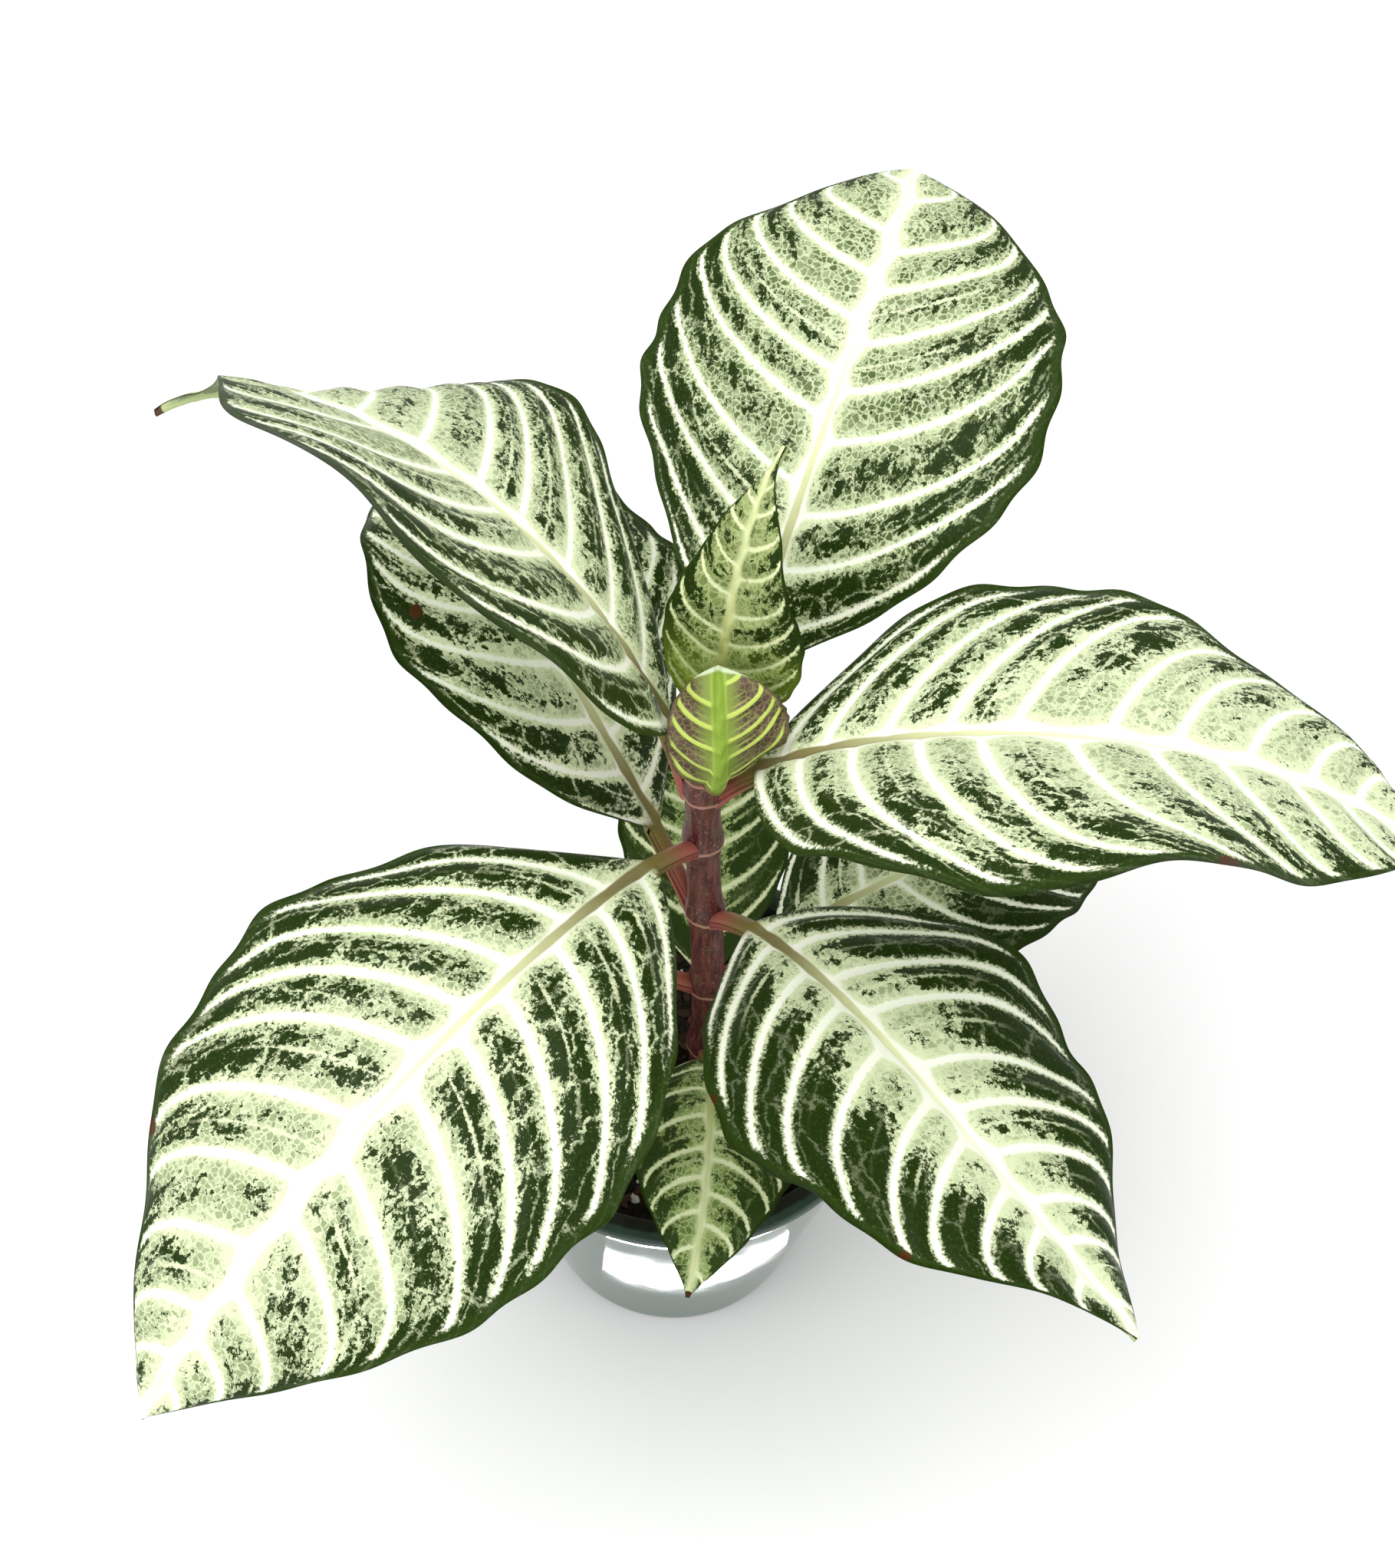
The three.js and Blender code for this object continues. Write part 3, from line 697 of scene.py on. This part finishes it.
def stem_material():
    graph = Graph("stem_bark")
    where = graph.object_coordinates()
    ring, _, height = graph.split(graph.attribute("stem_place"))
    streak = graph.noise(graph.scaled(where, (1.0, 1.0, 0.14)), 900, 3, 0.6)
    blotch = graph.noise(where, 140, 3)
    fleck = graph.noise(where, 1400, 1)
    bark = graph.mix(graph.step(streak, 0.3, 0.72), srgb(62, 22, 24), srgb(112, 62, 56))
    bark = graph.mix(graph.times(graph.step(blotch, 0.5, 0.75), 0.55), bark, srgb(98, 84, 58))
    bark = graph.mix(graph.times(graph.step(fleck, 0.62, 0.7), 0.5), bark, srgb(160, 126, 110))
    scar = graph.add(ring, graph.times(graph.minus(blotch, 0.5), 0.6))
    bark = graph.mix(graph.times(graph.step(scar, 0.35, 0.9), 0.8), bark, srgb(188, 140, 122))
    bark = graph.mix(graph.step(height, 0.240, 0.250), bark, srgb(160, 150, 90))
    graph.bump(streak, 0.35, 0.0004)
    return graph.finish(bark, graph.span(streak, 0.0, 1.0, 0.34, 0.5), Specular_IOR_Level=0.4)


def build_stem():
    sides = STEM["sides"]
    z = np.concatenate([np.linspace(STEM["foot"], STEM["top"], 420),
                        STEM["top"] + (STEM["tip"] - STEM["top"]) * np.sin(np.linspace(0.06, 1.5, 26))])
    angle = np.linspace(0, 2 * np.pi, sides, endpoint=False)
    z, angle = np.meshgrid(z, angle, indexing="ij")
    radius = np.full_like(z, STEM["radius"])
    ring = np.zeros_like(z)
    for node in NODES.values():
        radius = radius + STEM["swell"] * np.exp(-(((z - node) / STEM["reach"]) ** 2))
        radius = radius + 0.28 * np.exp(-(((z - node + 2.2) / 0.9) ** 2))
        radius = radius - 0.3 * np.exp(-(((z - node + 3.6) / 0.7) ** 2))
        ring = ring + np.exp(-(((z - node + 2.2) / 1.3) ** 2))
    radius = radius + 0.09 * np.sin(5 * angle + 0.05 * z) + 0.05 * np.sin(11 * angle - 0.11 * z)
    past = np.clip((z - STEM["top"]) / (STEM["tip"] - STEM["top"]), 0, 1)
    radius = radius * np.sqrt(np.clip(1 - past ** 2, 0.0, 1))
    axis = stem_axis(z)
    skin = axis + np.stack([radius * np.cos(angle), radius * np.sin(angle), np.zeros_like(z)], axis=-1)
    rows = len(z)
    body = skin.reshape(-1, 3)
    ends = np.array([axis[0, 0], axis[-1, 0] + [0, 0, 0.05]])
    faces = grid_faces(rows, sides, closed=True).tolist()
    last = (rows - 1) * sides
    for i in range(sides):
        j = (i + 1) % sides
        faces.append([len(body), j, i])
        faces.append([len(body) + 1, last + i, last + j])
    piece = mesh_object("stem_bark", np.concatenate([body, ends]) * MM, faces)
    info = np.stack([ring, angle, z * MM], axis=-1).reshape(-1, 3)
    point_attribute(piece, "stem_place", np.concatenate([info, [[0, 0, 0], [0, 0, ends[1, 2] * MM]]]))
    piece.data.materials.append(stem_material())
    place(piece, "stem")


# ---- pots -----------------------------------------------------------------------------------------

COVER = {"base_radius": 39, "wall": 3, "floor": 5, "foot_edge": 2}
NURSERY = {"play": 2, "wall": 1.6, "floor": 2}
DRAIN = {"count": 6, "radius": 4, "circle": 20, "sides": 24}
GAP = 0.3  # clearance kept between touching pieces
POT_SEGMENTS = 192


def cover_radius(z):
    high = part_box("cover_pot")[1]
    rim_radius, rim_height = high[0] / MM, high[2] / MM
    return COVER["base_radius"] + (rim_radius - COVER["base_radius"]) * z / rim_height


def cover_material():
    graph = Graph("cover_pot_gloss")
    where = graph.object_coordinates()
    cloud = graph.noise(where, 14, 3)
    speck = graph.noise(where, 900, 2, 0.6)
    rubbed = graph.noise(graph.scaled(where, (1.0, 1.0, 3.0)), 60, 3)
    colour = graph.mix(graph.step(cloud, 0.3, 0.7), srgb(52, 74, 65), srgb(64, 87, 77))
    colour = graph.mix(graph.times(graph.step(speck, 0.64, 0.72), 0.35), colour, srgb(84, 100, 92))
    graph.bump(graph.add(graph.times(rubbed, 0.5), graph.times(speck, 0.3)), 0.02, 0.0004)
    return graph.finish(colour, graph.span(rubbed, 0.3, 0.8, 0.04, 0.08),
                        Specular_IOR_Level=0.5, Specular_Tint=(0.74, 0.90, 0.80, 1))


def nursery_material():
    graph = Graph("nursery_pot_satin")
    where = graph.object_coordinates()
    cloud = graph.noise(where, 40, 3)
    grain = graph.noise(where, 1800, 2)
    dust = graph.noise(where, 220, 4, 0.65)
    colour = graph.mix(graph.step(cloud, 0.3, 0.7), srgb(32, 50, 43), srgb(44, 66, 57))
    colour = graph.mix(graph.times(graph.step(dust, 0.6, 0.75), 0.4), colour, srgb(96, 92, 78))
    # Painted shade: near-black over the inner part of the lip and all of the pot nearer its axis, where shade
    # falls.
    x, y, _ = graph.split(where)
    across = graph.math("SQRT", graph.add(graph.times(x, x), graph.times(y, y)))
    painted_inner_shade = falling(graph, graph.add(across, around(graph, dust, 0.002)), 0.0570, 0.0578)
    colour = graph.mix(painted_inner_shade, colour, srgb(16, 17, 14))
    graph.bump(grain, 0.18, 0.0002)
    return graph.finish(colour, graph.span(dust, 0.3, 0.8, 0.32, 0.5), Specular_IOR_Level=0.5)


def build_cover_pot():
    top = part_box("cover_pot")[1][2] / MM
    edge = COVER["foot_edge"]
    foot = cover_radius(edge)
    profile = [[0, 0], [foot - 3 * edge, 0], [foot - edge - 0.4, 0]]
    profile += arc((foot - edge, edge), edge, -80, -8)
    profile += [[cover_radius(z), z] for z in np.linspace(6, top - 1.6, 24)]
    profile += arc((cover_radius(top) - 0.9, top - 0.9), 0.9, 8, 90)
    inside = cover_radius(top) - COVER["wall"]
    profile += arc((inside + 0.8, top - 0.8), 0.8, 95, 172)
    profile += [[cover_radius(z) - COVER["wall"], z] for z in np.linspace(top - 1.6, COVER["floor"] + 2, 16)]
    corner = cover_radius(COVER["floor"]) - COVER["wall"]
    profile += [[corner - 1, COVER["floor"] + 0.3], [corner - 3, COVER["floor"]], [0, COVER["floor"]]]
    piece = lathe("cover_pot_shell", np.array(profile) * MM, POT_SEGMENTS)
    piece.data.materials.append(cover_material())
    place(piece, "cover_pot")


def build_nursery_pot():
    low, high = (np.array(corner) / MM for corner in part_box("nursery_pot"))
    lip_radius, lip_top, foot = high[0], high[2], low[2]
    lip_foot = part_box("cover_pot")[1][2] / MM + GAP
    outside = [[cover_radius(z) - COVER["wall"] - NURSERY["play"], z]
               for z in np.linspace(foot + 1, lip_foot, 20)]
    inside = [[radius - NURSERY["wall"], z] for radius, z in outside[::-1]]
    profile = [[0, foot], [outside[0][0] - 1, foot]] + outside
    profile += [[lip_radius - 0.7, lip_foot]]
    profile += arc((lip_radius - 0.7, lip_foot + 0.7), 0.7, -80, 0)
    profile += [[lip_radius - 0.1, lip_foot + 1.6]]
    profile += arc((lip_radius - 1.2, lip_top - 1.1), 1.1, 5, 90)
    profile += arc((inside[0][0] + 1.6, lip_top - 1.1), 1.1, 92, 176)
    profile += [[radius, z] for radius, z in inside if z > foot + NURSERY["floor"] + 1]
    profile += [[inside[-1][0] - 1, foot + NURSERY["floor"]], [0, foot + NURSERY["floor"]]]
    shell = lathe("nursery_pot_shell", np.array(profile) * MM, POT_SEGMENTS)
    below, above, radius = foot - 2, foot + 5, DRAIN["radius"]
    cutter = np.array([[0, below], [radius, below], [radius, above], [0, above]]) * MM
    for i in range(DRAIN["count"]):
        angle = i / DRAIN["count"] * 2 * math.pi
        hole = lathe("drain_hole_cutter", cutter, DRAIN["sides"])
        hole.location = (DRAIN["circle"] * MM * math.cos(angle), DRAIN["circle"] * MM * math.sin(angle), 0)
        cut = shell.modifiers.new("drain_hole", "BOOLEAN")
        cut.operation = "DIFFERENCE"
        cut.solver = "EXACT"
        cut.object = hole
        bpy.context.view_layer.update()
        result = bpy.data.meshes.new_from_object(shell.evaluated_get(bpy.context.evaluated_depsgraph_get()))
        shell.modifiers.clear()
        shell.data = result
        bpy.data.objects.remove(hole)
    shell.data.materials.clear()
    shell.data.materials.append(nursery_material())
    place(shell, "nursery_pot")


# ---- potting mix ----------------------------------------------------------------------------------

def soil_material():
    graph = Graph("potting_mix_peat")
    where = graph.object_coordinates()
    crumb = graph.noise(where, 420, 4, 0.7)
    clump = graph.noise(where, 90, 3)
    colour = graph.mix(graph.step(crumb, 0.3, 0.7), srgb(16, 12, 10), srgb(48, 37, 29))
    colour = graph.mix(graph.times(graph.step(clump, 0.5, 0.7), 0.5), colour, srgb(30, 24, 18))
    graph.bump(crumb, 0.9, 0.0015)
    return graph.finish(colour, 0.92, Specular_IOR_Level=0.25)


def bark_material():
    graph = Graph("bark_chip")
    where = graph.object_coordinates()
    grain = graph.noise(where, 700, 3, 0.7)
    which = graph.split(graph.attribute("chip_tone"))[0]
    colour = graph.mix(which, srgb(44, 30, 22), srgb(92, 66, 46))
    colour = graph.mix(graph.times(graph.step(grain, 0.45, 0.7), 0.5), colour, srgb(24, 17, 13))
    colour = graph.mix(graph.step(which, 0.93, 0.95), colour, srgb(206, 202, 192))
    graph.bump(grain, 0.6, 0.0006)
    return graph.finish(colour, 0.85, Specular_IOR_Level=0.3)


SOIL = {"heap": 92, "edge": 89, "rings": 90, "sides": 180, "roughness": 0.8, "grain": 0.22}
CHIPS = {"count": 620, "smallest": 0.7, "largest": 2.4, "clear": 7}


def soil_height(radius, x, y, reach):
    heap = SOIL["heap"] - (SOIL["heap"] - SOIL["edge"]) * (radius / reach) ** 1.4
    rough = (0.55 * np.sin(0.33 * x + 1.1) * np.cos(0.29 * y + 0.4) + 0.4 * np.sin(0.71 * x - 0.52 * y)
             + 0.3 * np.sin(1.31 * x + 1.13 * y + 2.0) + 0.22 * np.sin(2.3 * y - 1.9 * x + 0.7))
    return heap + SOIL["roughness"] * rough - 0.4


def build_potting_mix(rng):
    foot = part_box("potting_mix")[0][2] / MM
    gap = COVER["wall"] + NURSERY["play"] + NURSERY["wall"] + GAP
    reach = cover_radius(SOIL["edge"]) - gap
    rings, segments = SOIL["rings"], SOIL["sides"]
    angle = np.linspace(0, 2 * np.pi, segments, endpoint=False)
    vertices = [[0, 0, float(soil_height(0, 0, 0, reach))]]
    layers = [(reach * k / rings, None) for k in range(1, rings + 1)]
    layers += [(cover_radius(z) - gap, z) for z in (80, 50, 25, foot)]
    for radius, level in layers:
        x, y = radius * np.cos(angle), radius * np.sin(angle)
        z = np.full(segments, float(level)) if level is not None else soil_height(radius, x, y, reach)
        if level is None:
            z = z + rng.normal(0, SOIL["grain"], segments)
        vertices.extend(np.column_stack([x, y, z]).tolist())
    vertices.append([0, 0, foot])
    faces = (grid_faces(len(layers), segments, first=1, closed=True)[:, ::-1]).tolist()
    last = 1 + (len(layers) - 1) * segments
    for i in range(segments):
        j = (i + 1) % segments
        faces.append([0, 1 + i, 1 + j])
        faces.append([len(vertices) - 1, last + j, last + i])
    piece = mesh_object("potting_mix_body", np.array(vertices) * MM, faces)
    piece.data.materials.append(soil_material())
    place(piece, "potting_mix")
    build_chips(rng, reach)


def build_chips(rng, reach):
    """Bark chips and a few pale grains that lie on the potting mix."""
    phi = (1 + math.sqrt(5)) / 2
    corners = np.array([[-1, phi, 0], [1, phi, 0], [-1, -phi, 0], [1, -phi, 0], [0, -1, phi], [0, 1, phi],
                        [0, -1, -phi], [0, 1, -phi], [phi, 0, -1], [phi, 0, 1], [-phi, 0, -1], [-phi, 0, 1]])
    corners = corners / np.linalg.norm(corners[0])
    shell = np.array([[0, 11, 5], [0, 5, 1], [0, 1, 7], [0, 7, 10], [0, 10, 11], [1, 5, 9], [5, 11, 4],
                      [11, 10, 2], [10, 7, 6], [7, 1, 8], [3, 9, 4], [3, 4, 2], [3, 2, 6], [3, 6, 8],
                      [3, 8, 9], [4, 9, 5], [2, 4, 11], [6, 2, 10], [8, 6, 7], [9, 8, 1]])
    vertices, faces, tones = [], [], []
    for _ in range(CHIPS["count"]):
        distance, turn = reach * math.sqrt(rng.uniform(0.02, 0.93)), rng.uniform(0, 2 * math.pi)
        x, y = distance * math.cos(turn), distance * math.sin(turn)
        if math.hypot(x - LEAN["foot_x"], y - LEAN["y"]) < CHIPS["clear"]:
            continue
        length = rng.uniform(CHIPS["smallest"], CHIPS["largest"])
        size = length * np.array([1, rng.uniform(0.45, 0.9), rng.uniform(0.3, 0.6)])
        knobs = corners * (1 + rng.uniform(-0.25, 0.25, (12, 1))) * size
        spin = Matrix.Rotation(rng.uniform(0, 6.28), 3, "Z") @ Matrix.Rotation(rng.uniform(-0.6, 0.6), 3, "X")
        knobs = knobs @ np.array(spin).T
        z = float(soil_height(distance, np.array(x), np.array(y), reach)) + 0.3 * size[2]
        faces.extend((shell + len(vertices)).tolist())
        vertices.extend((knobs + [x, y, z]).tolist())
        tones.extend([[rng.uniform(0, 1), 0, 0]] * 12)
    chips = mesh_object("potting_mix_chips", np.array(vertices) * MM, faces, smooth=False)
    point_attribute(chips, "chip_tone", tones)
    chips.data.materials.append(bark_material())
    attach(chips, "root")


# ---- stage, light and camera ----------------------------------------------------------------------

# Small cards on the floor before the pot, which its glossy wall reflects as one bright band.
CARD_RADIUS = 0.0509
CARD_SIZE = (0.0052, 0.0182)
CARD_BEARINGS = (-113, -94.2, -75.4, -56.6, -37.8)
CARD_WATTS = 0.005

# Name, place, size and watts of the large lamps.
SOFTBOXES = (
    ("overhead_softbox", (-0.35, -0.35, 2.4), (1.8, 1.8), 38),
    ("right_softbox", (1.3, -0.5, 0.9), (0.8, 1.0), 4),
    ("left_softbox", (-1.2, -0.6, 0.8), (0.8, 1.0), 5),
)
LIT_POINT = (0, 0, 0.2)
CAMERA = {"place": (0.001, -0.347, 0.765), "elevation": 56.5, "roll": 2.9, "lens": 60, "sensor": 36}


def build_stage():
    size = 4.0
    floor = mesh_object("floor", [[-size, -size, 0], [size, -size, 0], [size, size, 0], [-size, size, 0]],
                        [[0, 1, 2, 3]])
    graph = Graph("floor_white")
    where = graph.object_coordinates()
    faint = graph.noise(where, 3, 2)
    colour = graph.mix(faint, (0.95, 0.95, 0.95, 1), (0.97, 0.97, 0.97, 1))
    floor.data.materials.append(graph.finish(colour, 0.9, Specular_IOR_Level=0.1))


def area_light(name, location, target, size, power, turn=0.0, only_gloss=False):
    data = bpy.data.lights.new(name, "AREA")
    data.shape = "RECTANGLE"
    data.size, data.size_y = size
    data.energy = power
    light = bpy.data.objects.new(name, data)
    light.location = location
    aim = (Vector(target) - Vector(location)).to_track_quat("-Z", "Y")
    light.rotation_euler = (Quaternion((0, 0, 1), turn) @ aim).to_euler()
    light.visible_camera = False
    if only_gloss:
        light.visible_diffuse = False
        data.spread = math.radians(70)
    bpy.context.scene.collection.objects.link(light)


def build_light():
    world = bpy.data.worlds.new("studio")
    world.use_nodes = True
    background = world.node_tree.nodes["Background"]
    background.inputs["Color"].default_value = (1, 1, 1, 1)
    background.inputs["Strength"].default_value = 0.70
    bpy.context.scene.world = world
    for name, spot, size, watts in SOFTBOXES:
        area_light(name, spot, LIT_POINT, size, watts)
    for number, bearing in enumerate(CARD_BEARINGS):
        turn = math.radians(bearing)
        spot = (CARD_RADIUS * math.cos(turn), CARD_RADIUS * math.sin(turn), 0.002)
        above = (spot[0], spot[1], 1.0)
        area_light(f"pot_card_{number}", spot, above, CARD_SIZE, CARD_WATTS, turn, only_gloss=True)


def build_camera():
    """Looks down at the plant from its front."""
    elevation, roll = math.radians(CAMERA["elevation"]), math.radians(CAMERA["roll"])
    forward = Vector((0, math.cos(elevation), -math.sin(elevation)))
    level, above = Vector((1, 0, 0)), Vector((0, math.sin(elevation), math.cos(elevation)))
    right = math.cos(roll) * level + math.sin(roll) * above
    up = math.cos(roll) * above - math.sin(roll) * level
    data = bpy.data.cameras.new("camera")
    data.lens = CAMERA["lens"]
    data.sensor_width = CAMERA["sensor"]
    data.clip_start = 0.01
    camera = bpy.data.objects.new("camera", data)
    turn = Matrix((right, up, -forward)).transposed().to_4x4()
    camera.matrix_world = Matrix.Translation(CAMERA["place"]) @ turn
    bpy.context.scene.collection.objects.link(camera)
    bpy.context.scene.camera = camera


build_camera()
build_stage()
build_light()
random = np.random.default_rng(7)
build_cover_pot()
build_nursery_pot()
build_potting_mix(random)
build_stem()
for number, (leaf_name, leaf_values) in enumerate(LEAVES.items()):
    build_leaf(leaf_name, leaf_values, seed=0.37 * number)
bpy.context.scene.view_settings.view_transform = "Standard"
